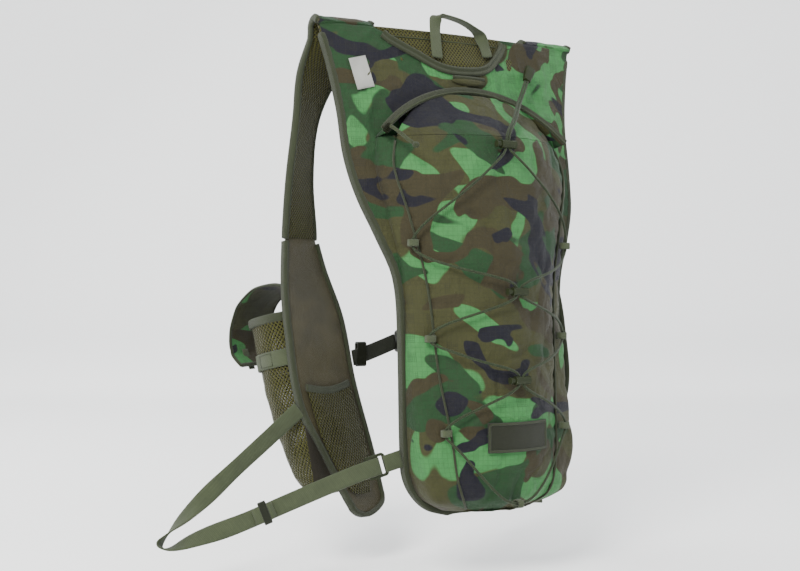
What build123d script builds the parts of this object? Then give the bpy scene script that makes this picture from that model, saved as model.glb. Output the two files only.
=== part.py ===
"""Hydration vest pack, in millimetres, +Z up.

The wearer stands on the +Y side of the back panel and faces +Y. -X is the wearer's left.
The origin is on the wearer's face of the back panel, at mid width, level with the lumbar area.
"""

import math
import os

from build123d import *

os.makedirs("parts", exist_ok=True)

# Driving dimensions -------------------------------------------------------------------------
PAD = 8.0  # spacer mesh back pad and shoulder straps
CLOTH = 1.6  # doubled and stitched ripstop
GAP = 0.3  # air between soft layers that are not sewn together
WALL = 2.0  # pouch cloth with its seam allowance
WEBBING = 20.0  # width of every load strap
TAPE = 1.8  # thickness of webbing
CORD = 3.0  # elastic lacing cord
TOP = 306.0  # height of the shoulder line
BOTTOM = -262.0  # lower edge of the back panel

# Back surface: height, centre depth, extra forward wrap at WRAP_AT from the middle
WRAP_AT = 160.0
BACK_STATIONS = [
    (-275, 0, 10),
    (-100, 0, 18),
    (0, 0, 22),
    (80, 6, 28),
    (140, 16, 34),
    (200, 32, 30),
    (260, 48, 22),
    (325, 67, 12),
]

# Pouch: height, half width at the back, half width and depth of the seam, depth of the middle
POUCH_STATIONS = [
    (-259, 62, 42, -30, -44),
    (-243, 90, 58, -48, -64),
    (-215, 102, 68, -50, -70),
    (-170, 106, 73, -46, -73),
    (-100, 107, 81, -32, -71),
    (0, 108, 89, -20, -66),
    (80, 122, 107, -10, -57),
    (136, 130, 120, 2, -48),
    (172, 125, 112, 12, -42),
]
TOP_STATIONS = [
    (172, 125, 112, 12, -42),
    (192, 110, 98, 17, -22),
    (212, 86, 76, 20, -2),
    (227, 56, 48, 22, 13),
]
BEHIND = 80.0  # how far the lofts run past the back surface before they are cut to it


def save(builder, label):
    """Label a finished piece and write its STEP file."""
    builder.part.label = label
    export_step(builder.part, f"parts/{label}.step")


def save_shape(shape, label):
    """Label a mirrored or combined piece and write its STEP file."""
    shape.label = label
    export_step(shape, f"parts/{label}.step")


def back_sheet(inner, outer):
    """Curved slab between two offsets from the wearer's face of the back, outward is -Y."""
    half = 200.0
    with BuildPart() as slab:
        for height, centre, wrap in BACK_STATIONS:
            edge = centre + wrap * (half / WRAP_AT) ** 2
            with BuildSketch(Plane.XY.offset(height)):
                with BuildLine():
                    ThreePointArc((-half, edge + inner), (0, centre + inner), (half, edge + inner))
                    Line((half, edge + inner), (half, edge + outer))
                    ThreePointArc((half, edge + outer), (0, centre + outer), (-half, edge + outer))
                    Line((-half, edge + outer), (-half, edge + inner))
                make_face()
        loft()
    return slab.part


def back_depth(x, z):
    """Depth of the wearer's face of the back at a place on it, for setting trim."""
    below = max(s for s in BACK_STATIONS if s[0] <= z)
    above = min(s for s in BACK_STATIONS if s[0] > z)
    share = (z - below[0]) / (above[0] - below[0])
    centre = below[1] + share * (above[1] - below[1])
    wrap = below[2] + share * (above[2] - below[2])
    return centre + wrap * (x / WRAP_AT) ** 2


def outline_prism(grow=0.0, top=TOP):
    """Back panel outline, as a prism along Y that every layer is cut with."""
    side_points = [(181, TOP), (170, 262), (161, 205), (158, 150), (149, 101), (133, 58), (115, 10), (110, -60)]
    with BuildPart() as prism:
        with BuildSketch(Plane.XZ.offset(-200)):
            with BuildLine():
                side = Spline([(x + grow, z) for x, z in side_points])
                flank = Line(side @ 1, (108 + grow, -205))
                corner = ThreePointArc(flank @ 1, (93 + 0.7 * grow, -243 - 0.7 * grow), (56, BOTTOM - grow))
                Line(corner @ 1, (0, BOTTOM - grow))
                Line((0, BOTTOM - grow), (0, TOP))
                Line((0, TOP), side @ 0)
            make_face()
            mirror(about=Plane.YZ)
        extrude(amount=400)
        if top < TOP:
            with Locations((0, 0, top + 100)):
                Box(600, 900, 200, mode=Mode.SUBTRACT)
    return prism.part


def pouch_loft(stations, inset):
    """Closed solid of a stretch of the pouch, running well past the back surface."""
    with BuildPart() as body:
        for height, back, seam, seam_depth, middle in stations:
            with BuildSketch(Plane.XY.offset(height)):
                with BuildLine():
                    a = (-back + inset, BEHIND)
                    b = (-back + inset, seam_depth + 14)
                    c = (-seam + inset, seam_depth + inset)
                    d = (seam - inset, seam_depth + inset)
                    e = (back - inset, seam_depth + 14)
                    f = (back - inset, BEHIND)
                    Polyline(a, b, c)
                    ThreePointArc(c, (0, middle + inset), d)
                    Polyline(d, e, f, a)
                make_face()
        loft(ruled=True)
    return body.part


# Back panel layers --------------------------------------------------------------------------
with BuildPart() as back_pad:
    add(back_sheet(0, -PAD))
    add(outline_prism(), mode=Mode.INTERSECT)
save(back_pad, "back_pad")

SHELL_IN = -PAD - GAP
SHELL_OUT = SHELL_IN - CLOTH
with BuildPart() as back_shell:
    add(back_sheet(SHELL_IN, SHELL_OUT))
    add(outline_prism(), mode=Mode.INTERSECT)
    with BuildSketch(Plane.XZ.offset(-200)) as neckline:
        with BuildLine():
            neck = Spline((-118, 308), (-92, 295), (-62, 280), (-34, 267), (0, 264), (28, 270), (52, 292), (60, 308))
            Line(neck @ 1, neck @ 0)
        make_face()
    extrude(amount=400, mode=Mode.SUBTRACT)
save(back_shell, "back_shell")

with BuildPart() as edge_binding:
    add(back_sheet(0.8, SHELL_OUT - 0.8))
    add(outline_prism(grow=3.0, top=296.0), mode=Mode.INTERSECT)
    add(outline_prism(), mode=Mode.SUBTRACT)
save(edge_binding, "edge_binding")

with BuildPart() as neck_binding:
    add(back_sheet(SHELL_OUT - GAP, SHELL_OUT - GAP - 2.0))
    with BuildSketch(Plane.XZ.offset(-200)):
        with BuildLine():
            rim = Spline((-104, 301), (-92, 295), (-62, 280), (-34, 267), (0, 264), (28, 270), (52, 292), (57, 301))
            lower = Spline((-110, 291), (-98, 285), (-67, 269), (-38, 256), (0, 253), (35, 260), (63, 287), (69, 301))
            Line(rim @ 0, lower @ 0)
            Line(rim @ 1, lower @ 1)
        make_face()
    extrude(amount=400, mode=Mode.INTERSECT)
save(neck_binding, "neck_binding")

# Main zip, an arch over the top of the pouch --------------------------------------------------
ZIP_LEAN = 15.0
ZIP_R = 172.0
ZIP_END = 47.0  # angle of the slider from the top of the arch
ZIP_LOW = 50.5  # angle where the tape ends
zip_plane = Plane(
    origin=(0, -22.5, 65),
    x_dir=(1, 0, 0),
    z_dir=(0, -math.cos(math.radians(ZIP_LEAN)), math.sin(math.radians(ZIP_LEAN))),
)


def on_arch(angle, radius=ZIP_R):
    """Place on the zip arch, the angle counted from its top towards -X."""
    turn = math.radians(90 + angle)
    return (radius * math.cos(turn), radius * math.sin(turn))


# Pouch --------------------------------------------------------------------------------------
keep_out = back_sheet(120, SHELL_OUT - 0.05)
SEAM_LINE = [(s[2], s[0]) for s in POUCH_STATIONS]


def front_prism():
    """Outline of the front face between its two side seams, as a prism along Y."""
    with BuildPart() as prism:
        with BuildSketch(Plane.XZ.offset(-200)):
            with BuildLine():
                left = [(-x, z) for x, z in SEAM_LINE]
                Polyline(*SEAM_LINE, *reversed(left), SEAM_LINE[0])
            make_face()
        extrude(amount=400)
    return prism.part


with BuildPart() as pouch_body:
    add(pouch_loft(POUCH_STATIONS, 0))
    inner_stations = [(max(z, -256), back, seam, depth, mid) for z, back, seam, depth, mid in POUCH_STATIONS]
    add(pouch_loft(inner_stations, WALL), mode=Mode.SUBTRACT)
    add(keep_out, mode=Mode.SUBTRACT)

with BuildPart() as pouch_front:
    add(pouch_body.part)
    add(front_prism(), mode=Mode.INTERSECT)
    with Locations((0, -30, -309)):
        Box(300, 200, 100 + 2 * 3, mode=Mode.SUBTRACT)
save(pouch_front, "pouch_front")

with BuildPart() as pouch_rest:
    add(pouch_body.part)
    add(pouch_front.part, mode=Mode.SUBTRACT)

POUCH_FLOOR = -256.0
for side, label in ((-1, "left"), (1, "right")):
    with BuildPart() as gusset:
        add(pouch_rest.part)
        with Locations((side * 150, 0, 100 + POUCH_FLOOR + 150)):
            Box(300, 400, 500, mode=Mode.INTERSECT)
    save(gusset, f"pouch_side_{label}")

with BuildPart() as pouch_bottom:
    add(pouch_rest.part)
    with Locations((0, 0, POUCH_FLOOR - 50)):
        Box(400, 400, 100, mode=Mode.INTERSECT)
save(pouch_bottom, "pouch_bottom")

with BuildPart() as pouch_top:
    add(pouch_loft(TOP_STATIONS, 0))
    top_inner = [(min(z, 225), back, seam, depth, mid) for z, back, seam, depth, mid in TOP_STATIONS]
    add(pouch_loft(top_inner, WALL), mode=Mode.SUBTRACT)
    add(keep_out, mode=Mode.SUBTRACT)
    with BuildSketch(zip_plane.offset(-GAP)):  # clears the slider's way along the zip
        with BuildLine():
            beyond = ThreePointArc(on_arch(-44, ZIP_R + 40), on_arch(0, ZIP_R + 40), on_arch(44, ZIP_R + 40))
            edge = ThreePointArc(on_arch(-44, ZIP_R - 5.5), on_arch(0, ZIP_R - 5.5), on_arch(44, ZIP_R - 5.5))
            Line(beyond @ 0, edge @ 0)
            Line(beyond @ 1, edge @ 1)
        make_face()
    extrude(amount=40, mode=Mode.SUBTRACT)
save(pouch_top, "pouch_top")


def front_depth(x, z, stations=POUCH_STATIONS):
    """Depth of the pouch's front face at a place on it, for setting trim on it."""
    below = max(s for s in stations if s[0] <= z)
    above = min(s for s in stations if s[0] > z)
    share = (z - below[0]) / (above[0] - below[0])
    chord, seam_y, middle = (below[i] + share * (above[i] - below[i]) for i in (2, 3, 4))
    rise = seam_y - middle
    radius = (chord**2 + rise**2) / (2 * rise)
    return middle + radius - math.sqrt(radius**2 - x**2)


# Reservoir inside the pouch -------------------------------------------------------------------
BAG_FRONT = -30.0
with BuildPart() as reservoir:
    with Locations((0, -21.5, -67)):
        Box(124, 17, 314)
    fillet(reservoir.edges().filter_by(Axis.Y), radius=28)
    fillet(reservoir.faces().sort_by(Axis.Y)[0].edges(), radius=6)
    with BuildSketch(Plane.XZ.offset(-BAG_FRONT - 1)):
        with Locations((0, 40)):
            Circle(24)
    extrude(amount=3)
save(reservoir, "reservoir")

CAP_FACE = BAG_FRONT - 2.0 - 0.2
with BuildPart() as reservoir_cap:
    with BuildSketch(Plane.XZ.offset(-CAP_FACE)):
        with Locations((0, 40)):
            Circle(27)
    extrude(amount=7)
    with BuildSketch(Plane.XZ.offset(-CAP_FACE + 7)):
        with Locations((0, 40)):
            Rectangle(40, 5)
    extrude(amount=5)
save(reservoir_cap, "reservoir_cap")

with BuildPart() as reservoir_outlet:
    with BuildSketch(Plane.XZ.offset(-BAG_FRONT)):
        with Locations((0, -196)):
            Circle(11)
    extrude(amount=6)
    with Locations(Location((0, BAG_FRONT - 12, -196))):
        Cylinder(radius=7, height=14)
    with Locations(Location((0, BAG_FRONT - 12, -178))):
        Cylinder(radius=3.5, height=24)
    with Locations(*[Location((0, BAG_FRONT - 12, z)) for z in (-182, -176, -170)]):
        Cone(bottom_radius=4.3, top_radius=3.5, height=4)
save(reservoir_outlet, "reservoir_outlet")

with BuildPart() as reservoir_hanger:
    with BuildSketch(Plane.YZ.offset(-WEBBING / 2)):
        with BuildLine():
            Polyline((3.4, 132), (1.4, 132), (-22, 92), (-22, 91), (-19.5, 91), (3.4, 130), (3.4, 132))
        make_face()
    extrude(amount=WEBBING)
save(reservoir_hanger, "reservoir_hanger")

# Main zip: an arch in a plane that leans with the yoke ----------------------------------------------
with BuildPart() as main_zip_tape:
    with BuildSketch(zip_plane):
        with BuildLine():
            outer = ThreePointArc(on_arch(-ZIP_LOW, ZIP_R + 7), on_arch(0, ZIP_R + 7), on_arch(ZIP_LOW, ZIP_R + 7))
            inner = ThreePointArc(on_arch(-ZIP_LOW, ZIP_R - 3), on_arch(0, ZIP_R - 3), on_arch(ZIP_LOW, ZIP_R - 3))
            Line(outer @ 0, inner @ 0)
            Line(outer @ 1, inner @ 1)
        make_face()
    extrude(amount=-60)
    add(keep_out, mode=Mode.SUBTRACT)
    add(pouch_loft(TOP_STATIONS, -0.1), mode=Mode.SUBTRACT)
    add(pouch_loft(POUCH_STATIONS, -0.1), mode=Mode.SUBTRACT)
save(main_zip_tape, "main_zip_tape")

slider_at = Location(zip_plane) * Location((*on_arch(ZIP_END), 0), (0, 0, ZIP_END))
with BuildPart() as main_zip_slider:
    with BuildSketch(Plane(slider_at).offset(0.5)):
        RectangleRounded(12, 8, 2.5)
    extrude(amount=3.5)
    with BuildSketch(Plane(slider_at).offset(4)):
        RectangleRounded(8, 2.4, 1.1)
    extrude(amount=2.5)
save(main_zip_slider, "main_zip_slider")

pull_start = Plane(slider_at).from_local_coords((0, 0, 9))
pull_end = pull_start + Vector(13, -34, -24)
pull_plane = Plane(origin=pull_start, x_dir=Vector(0, 1, 0).cross(pull_end - pull_start), z_dir=pull_end - pull_start)
with BuildPart() as main_zip_pull:
    with BuildSketch(pull_plane):
        Circle(2.2)
    extrude(amount=(pull_end - pull_start).length)
    with Locations(Location(pull_end)):
        Sphere(4)
save(main_zip_pull, "main_zip_pull")

# Trim on the yoke ---------------------------------------------------------------------------------
LEG_Y = 39.4
LEG_Z = 272.0
LEAN = 16.3
leg_plane = Plane(
    origin=(0, LEG_Y, LEG_Z),
    x_dir=(1, 0, 0),
    z_dir=(0, -math.cos(math.radians(LEAN)), math.sin(math.radians(LEAN))),
)
with BuildPart() as grab_handle:
    with BuildSketch(leg_plane):
        with BuildLine():
            Polyline((-48, 0), (-38, 58), (-31, 58), (-30, 0), (-48, 0))
        make_face()
        with BuildLine():
            Polyline((26, 8), (20, 40), (27, 40), (44, 8), (26, 8))
        make_face()
    extrude(amount=TAPE)
    with BuildSketch(leg_plane.offset(-1)):
        with BuildLine():
            Polyline((-38, 58), (-38, 60), (27, 42.5), (27, 40), (20, 40), (-38, 58))
        make_face()
    extrude(amount=15)
save(grab_handle, "grab_handle")

with BuildPart() as hose_port:
    with BuildSketch(Plane.XZ.offset(-34)):
        with Locations((2, 246)):
            Ellipse(24, 4.5)
    extrude(amount=10.5)
    add(back_sheet(120, SHELL_OUT - GAP), mode=Mode.SUBTRACT)
save(hose_port, "hose_port")

with BuildPart() as shoulder_label:
    add(back_sheet(SHELL_OUT - GAP, SHELL_OUT - GAP - 0.6))
    with BuildSketch(Plane.XZ.offset(-200)):
        with BuildLine():
            Polyline((-150, 264), (-130, 269), (-122, 232), (-142, 227), (-150, 264))
        make_face()
    extrude(amount=400, mode=Mode.INTERSECT)
save(shoulder_label, "shoulder_label")

PATCH_Z = -171.0
with BuildPart() as front_patch:
    add(pouch_loft(POUCH_STATIONS, -1.5))
    add(pouch_loft(POUCH_STATIONS, -GAP), mode=Mode.SUBTRACT)
    with BuildSketch(Plane.XZ.offset(0)):
        with Locations((2, PATCH_Z)):
            Rectangle(82, 34)
    extrude(amount=200, mode=Mode.INTERSECT)
save(front_patch, "front_patch")

# Bungee lacing --------------------------------------------------------------------------------------
LOOP_CENTRES = [(100, -19, 48), (85, -32, -60), (75, -50, -165)]
LOOP_REACH = 13.0
with BuildPart() as bungee_loops:
    for side in (-1, 1):
        for x, y, z in LOOP_CENTRES:
            with BuildSketch(Plane.XY.offset(z - 4)):
                with Locations((side * (x + LOOP_REACH / 2 + 0.6), y)):
                    RectangleRounded(LOOP_REACH, 9.4, 4.4)
                    RectangleRounded(LOOP_REACH - 2.4, 7, 3.2, mode=Mode.SUBTRACT)
            extrude(amount=8)
    with BuildSketch(Plane.YZ.offset(-4)):
        with Locations((-64 - LOOP_REACH / 2 - 1.6, -247)):
            RectangleRounded(LOOP_REACH, 9.4, 4.4)
            RectangleRounded(LOOP_REACH - 2.4, 7, 3.2, mode=Mode.SUBTRACT)
    extrude(amount=8)
save(bungee_loops, "bungee_loops")

LOCKS = [(0, -51, 162), (0, -73, -7), (0, -78, -107)]
LOCK_TRAVEL = 3.0
for number, centre in enumerate(LOCKS, start=1):
    along = Plane(origin=centre, x_dir=(0, 0, 1), z_dir=(1, 0, 0))
    with BuildPart() as lock_body:
        with BuildSketch(along.offset(-9)):
            RectangleRounded(9.5, 9, 4)
        extrude(amount=20)
        with BuildSketch(along.offset(-9)):
            Circle(3.3)
        extrude(amount=18, mode=Mode.SUBTRACT)
        with Locations(Location(centre)):
            Box(9, 4.8, 20, mode=Mode.SUBTRACT)
    save(lock_body, f"cord_lock_body_{number}")
    with BuildPart() as plunger:
        with BuildSketch(along.offset(-14)):
            Circle(3.1)
        extrude(amount=19)
        with Locations(Location(centre) * Location((-0.5, 0, 0))):
            Box(9.6, 4.8, 20, mode=Mode.SUBTRACT)
        with BuildSketch(along.offset(-15.5)):
            Circle(3.9)
        extrude(amount=1.5)
    save(plunger, f"cord_lock_plunger_{number}")

with BuildPart() as cord_lock_springs:
    for centre in LOCKS:
        with BuildSketch(Plane(origin=centre, x_dir=(0, 0, 1), z_dir=(1, 0, 0)).offset(5.1)):
            Circle(2.6)
            Circle(1.8, mode=Mode.SUBTRACT)
        extrude(amount=3.8)
save(cord_lock_springs, "cord_lock_springs")

# The lacing is one elastic cord: two strands that meet in the bottom loop and end in the cord end
LACING = [
    (-0.4, -74, -247),
    (-15, -74, -245),
    (-32, -73, -231),
    (-48, -69, -213),
    (-62, -63, -195),
    (-75, -56, -179),
    (-84, -50, -170),
    (-84, -50, -160),
    (-72, -57, -149),
    (-54, -67, -139),
    (-35, -74, -130),
    (-16, -78, -122),
    (-1.7, -78, -113),
    (-1.7, -78, -101),
    (-14, -78, -94),
    (-33, -74, -89),
    (-53, -65, -83),
    (-70, -54, -76),
    (-84, -41, -70),
    (-94, -32, -64),
    (-94, -32, -55),
    (-84, -41, -46),
    (-68, -54, -38),
    (-49, -65, -31),
    (-29, -72, -24),
    (-13, -75, -18),
    (-1.7, -73, -12),
    (-1.7, -73, -2),
    (-13, -75, 5),
    (-31, -71, 10),
    (-52, -63, 15),
    (-72, -50, 21),
    (-90, -35, 28),
    (-104, -22, 37),
    (-109, -19, 45),
    (-108, -20, 54),
    (-101, -28, 67),
    (-88, -38, 81),
    (-73, -47, 94),
    (-57, -53, 108),
    (-40, -56, 122),
    (-23, -57, 137),
    (-9, -55, 149),
    (-1.7, -51, 157),
    (-1.7, -51, 167),
]
TAIL = [(6, -46, 179), (20, -35, 190), (34, -20, 202), (48, -4, 213), (62, 11, 226), (74, 20, 240), (84, 28, 253)]
TAIL_SPREAD = 2.0


def cord_tube(points, label):
    """Round cord along straight runs joined by the largest tangent arcs its runs allow."""
    stops = [Vector(*p) for p in points]
    radii = []
    for before, here, after in zip(stops, stops[1:], stops[2:]):
        half_turn = math.radians((here - before).get_angle(after - here)) / 2
        shorter = min((here - before).length, (after - here).length)
        radii.append(0.45 * shorter / math.tan(half_turn))
    with BuildPart() as tube:
        with BuildLine():
            path = FilletPolyline(*stops, radius=radii)
        with BuildSketch(Plane(origin=path @ 0, z_dir=path % 0)):
            Circle(CORD / 2)
        sweep(path=path)
    save(tube, label)


for side, label in ((1, "left"), (-1, "right")):
    lacing = [(side * x, y, z) for x, y, z in LACING]
    tail = [(x - side * TAIL_SPREAD, y, z) for x, y, z in TAIL]
    cord_tube(lacing + tail, f"bungee_cord_{label}")

TAIL_RUN = (Vector(*TAIL[-1]) - Vector(*TAIL[-2])).normalized()
end_plane = Plane(origin=Vector(*TAIL[-1]) + TAIL_RUN * 1.4, x_dir=TAIL_RUN.cross(Vector(0, -0.95, 0.3)), z_dir=TAIL_RUN)
with BuildPart() as cord_end:
    with BuildSketch(end_plane):
        RectangleRounded(9.5, 6, 2)
    with BuildSketch(end_plane.offset(16)):
        RectangleRounded(13, 8, 2.5)
    loft()
    with BuildSketch(end_plane.offset(16)):
        RectangleRounded(13, 8, 2.5)
    extrude(amount=8)
save(cord_end, "cord_end")

# Shoulder straps and front panels ----------------------------------------------------------------------
# Each front panel hangs a little outward at its top; s runs from the armhole to the centre front, q up
PANEL_TURN = 27.0
PANEL_TILT = 12.0
turn, tilt = math.radians(PANEL_TURN), math.radians(PANEL_TILT)
along = Vector(math.cos(turn), math.sin(turn), 0)
away = Vector(-math.sin(turn), math.cos(turn), 0)
up = Vector(0, 0, 1) * math.cos(tilt) + away * math.sin(tilt)
out = up.cross(along)
PANEL_AT = Vector(-205, 102, -60)
panel_plane = Plane(origin=PANEL_AT, x_dir=along, z_dir=out * -1)


def level(q):
    """Plane across the left panel at a height on it, its axes pointing to the centre front and outward."""
    return Plane(origin=PANEL_AT + up * q, x_dir=along, z_dir=up)


def cut(s):
    """Plane through the left panel at a place along it, its axes pointing outward and up."""
    return Plane(origin=PANEL_AT + along * s, x_dir=out, z_dir=along)


def save_pair(builder, label):
    """Write a left piece and its mirror image on the right."""
    save_shape(builder.part, f"{label}_left")
    save_shape(mirror(builder.part, about=Plane.YZ), f"{label}_right")


def save_group(builder, label):
    """Write a left piece and its mirror image as one node of two solids."""
    save_shape(Compound(children=[builder.part, mirror(builder.part, about=Plane.YZ)]), label)


def panel_slab(grow, inner, outer):
    """Slab with the left front panel's outline, between two distances outward from its inner face."""
    edge = [(30, 124), (12, 60), (5, 8), (4, -80), (34, -143), (62, -196)]
    with BuildPart() as slab:
        with BuildSketch(panel_plane.offset(-inner)):
            with BuildLine():
                left = Spline([(s - grow, q) for s, q in edge])
                foot = ThreePointArc(left @ 1, (92, -223 - grow), (134 + grow, -212))
                lower = Line(foot @ 1, (127 + grow, -150))
                Line(lower @ 1, (113 + grow, -60))
                right = Spline((113 + grow, -60), (110 + grow, 20), (92 + grow, 80), (84 + grow, 124))
                Line(right @ 1, left @ 0)
            make_face()
        extrude(amount=inner - outer)
    return slab.part


PANEL = 5.0
with BuildPart() as front_panel:
    add(panel_slab(0, 0, PANEL))
save_pair(front_panel, "front_panel")

with BuildPart() as panel_binding:
    add(panel_slab(3, -1, PANEL))
    add(panel_slab(0, -2, PANEL + 2), mode=Mode.SUBTRACT)
    with BuildSketch(panel_plane.offset(50)):
        with Locations((60, 90)):
            Rectangle(400, 100)
    extrude(amount=-100, mode=Mode.SUBTRACT)
save_pair(panel_binding, "panel_binding")

# Strap sections: height, outer edge and inner edge of the wearer's face, seen from above
STRAP_STATIONS = [
    (296, (-182, 86), (-112, 86)),
    (250, (-189, 99), (-134, 122)),
    (200, (-191, 103), (-150, 138)),
    (130, (-198, 107), (-155, 143)),
    (66, (-193, 132), (-145, 156)),
]
with BuildPart() as shoulder_strap:
    for height, outer_edge, inner_edge in STRAP_STATIONS:
        a, b = Vector(*outer_edge), Vector(*inner_edge)
        forward = Vector(-(b - a).Y, (b - a).X).normalized() * PAD
        corners = [(p.X, p.Y) for p in (a, b, b + forward, a + forward, a)]
        with BuildSketch(Plane.XY.offset(height)):
            with BuildLine():
                Polyline(corners)
            make_face()
    loft(ruled=True)
    with BuildSketch(Plane.YZ.offset(-182)):
        with BuildLine():
            rise = Line((94, 296), (94, 302))
            over = ThreePointArc(rise @ 1, (79, 316), (64.5, 308))
            Line(over @ 1, (72, 307))
            under = ThreePointArc((72, 307), (80, 309), (86, 302))
            Polyline(under @ 1, (86, 296), (94, 296))
        make_face()
    extrude(amount=70)
save_pair(shoulder_strap, "shoulder_strap")

# Bottle pocket: height on the panel, depth of the bulge
POCKET_LEFT, POCKET_RIGHT = 9.0, 97.0
POCKET_STATIONS = [(28, 84), (-60, 78), (-120, 68), (-168, 54), (-190, 30)]
POCKET_WALL = 1.5


def pocket_loft(inset, stations=POCKET_STATIONS):
    """Closed solid of the bottle pocket, shrunk by the inset."""
    with BuildPart() as body:
        for q, bulge in stations:
            a, b = (POCKET_LEFT + inset, PANEL + GAP), (POCKET_RIGHT - inset, PANEL + GAP)
            with BuildSketch(level(q)):
                with BuildLine():
                    ThreePointArc(a, ((a[0] + b[0]) / 2, bulge - inset), b)
                    Line(b, a)
                make_face()
        loft(ruled=True)
    return body.part


MOUTH_Q = POCKET_STATIONS[0][0]
with BuildPart() as bottle_pocket:
    add(pocket_loft(0))
    add(pocket_loft(POCKET_WALL, [(MOUTH_Q + 9, 84), *POCKET_STATIONS[:-1], (-187.5, 33)]), mode=Mode.SUBTRACT)
save_pair(bottle_pocket, "bottle_pocket")

with BuildPart() as pocket_band:
    add(pocket_loft(-GAP - 1.4))
    add(pocket_loft(-GAP), mode=Mode.SUBTRACT)
    with BuildSketch(level(-32)):
        with Locations((50, 60)):
            Rectangle(200, 108)
    extrude(amount=WEBBING, mode=Mode.INTERSECT)
save_pair(pocket_band, "pocket_band")

FLAP_LEFT, FLAP_WIDTH = 16.0, 74.0
with BuildPart() as pocket_flap:
    with BuildSketch(cut(FLAP_LEFT)):
        with BuildLine():
            top = Spline((7.5, 64), (34, 71), (62, 68), (88, 50), (105, 14), (104, -4), (94, -18))
            low = Spline((7.5, 61.6), (34, 68.6), (61, 65.6), (86, 48.5), (102.6, 14), (101.6, -3), (92.5, -16))
            Line(top @ 0, low @ 0)
            Line(top @ 1, low @ 1)
        make_face()
    extrude(amount=FLAP_WIDTH)
save_pair(pocket_flap, "pocket_flap")

ZIP_S = 104.5
with BuildPart() as panel_zip_slider:
    with BuildSketch(panel_plane.offset(-PANEL - 0.4)):
        with Locations((ZIP_S, 46)):
            RectangleRounded(7, 11, 2)
    extrude(amount=-4)
    with BuildSketch(panel_plane.offset(-PANEL - 1.4)):
        with Locations((ZIP_S, 26)):
            RectangleRounded(3.6, 30, 1.6)
    extrude(amount=-2.6)
save_pair(panel_zip_slider, "panel_zip_slider")

with BuildPart() as inner_pocket:
    with BuildSketch(panel_plane.offset(GAP)):
        with BuildLine():
            Polyline((14, -62), (104, -84), (116, -160), (104, -200), (68, -190), (30, -128), (14, -62))
        make_face()
    extrude(amount=2)
save_group(inner_pocket, "inner_pockets")

# Side straps --------------------------------------------------------------------------------------------
STRAP_ROUTE = [
    (-136.3, 4.2, -203.7),
    (-154.9, 9, -209.3),
    (-185, 20, -221),
    (-235, 38, -242),
    (-285, 52, -262),
    (-330, 66, -277),
    (-358, 76, -287),
    (-368, 82, -284),
    (-358, 85, -273),
    (-330, 87, -250),
    (-285, 89, -214),
    (-240, 90, -179),
    (-207, 91, -153),
]
TWIST = [0, 0, 0, 0, 0, 0.5, 1, 1, 1, 0.5, 0, 0, 0]  # 0 is flat to the side, 1 is along the turn's axis
SHORT_ROUTE = [
    (120.3, 20.7, -203),
    (127.3, 38.7, -208),
    (131, 54, -221),
    (133, 65, -243),
    (133.5, 71, -264),
    (134, 75, -277),
    (135, 79, -281),
    (136.5, 83, -275),
    (139, 85, -258),
    (144, 86, -235),
    (149, 87, -212),
    (154, 88, -190),
]
SHORT_TWIST = [0, 0, 0.5, 1, 1, 1, 1, 1, 1, 1, 1, 1]
STRAPS = [
    ("left", Vector(-113.3, 1, -197), Vector(-0.93, 0.24, -0.28), STRAP_ROUTE, TWIST, Vector(0.5, 0.8, 0), 3),
    ("right", Vector(109.5, 0, -197), Vector(0.35, 0.9, -0.25), SHORT_ROUTE, SHORT_TWIST, Vector(1, 0.1, 0), 3),
]
keepers = []
for label, tab_at, lead, stops, twists, turn_axis, keeper_span in STRAPS:
    lead = lead.normalized()
    across = (Vector(0, 0, 1) - lead * lead.Z).normalized()
    face = across.cross(lead) * (1 if label == "left" else -1)
    tab_plane = Plane(origin=tab_at, x_dir=lead, z_dir=face)
    with BuildPart() as side_tab:
        with BuildSketch(tab_plane.offset(1.7)):
            with Locations((9, 0)):
                Rectangle(22, WEBBING)
        extrude(amount=TAPE)
        add(outline_prism(grow=3.1), mode=Mode.SUBTRACT)
    save(side_tab, f"side_tab_{label}")

    with BuildPart() as triglide:
        with BuildSketch(tab_plane.offset(-1.5)):
            with Locations((28, 0)):
                RectangleRounded(24, 27, 4)
            with Locations((22, 0), (34, 0)):
                RectangleRounded(5, 21, 1.2, mode=Mode.SUBTRACT)
        extrude(amount=3)
    save(triglide, f"triglide_{label}")

    route = [Vector(*p) for p in stops]
    ends = [route[0] * 2 - route[1], *route, route[-1] * 2 - route[-2]]
    slices = []
    for i, (place, twist) in enumerate(zip(route, twists)):
        run = (ends[i + 2] - ends[i]).normalized()
        wide = Vector(0, 0, 1) * (1 - twist) + turn_axis * twist
        wide = (wide - run * wide.dot(run)).normalized()
        slices.append(Plane(origin=place, x_dir=wide, z_dir=run))
    with BuildPart() as side_strap:
        for pair in zip(slices, slices[1:]):
            for slice_plane in pair:
                with BuildSketch(slice_plane):
                    Rectangle(WEBBING, TAPE)
            loft(ruled=True)
    save(side_strap, f"side_strap_{label}")

    keeper_at = (route[keeper_span] + route[keeper_span + 1]) * 0.5
    keeper_run = (route[keeper_span + 1] - route[keeper_span]).normalized()
    keeper_wide = slices[keeper_span].x_dir
    keeper_wide = (keeper_wide - keeper_run * keeper_wide.dot(keeper_run)).normalized()
    with BuildPart() as strap_keeper:
        with BuildSketch(Plane(origin=keeper_at, x_dir=keeper_wide, z_dir=keeper_run)):
            Rectangle(WEBBING + 7, 7)
            Rectangle(WEBBING + 4, 4.4, mode=Mode.SUBTRACT)
        extrude(amount=5, both=True)
    keepers.append(strap_keeper.part)
save_shape(Compound(children=keepers), "strap_keepers")

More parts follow.
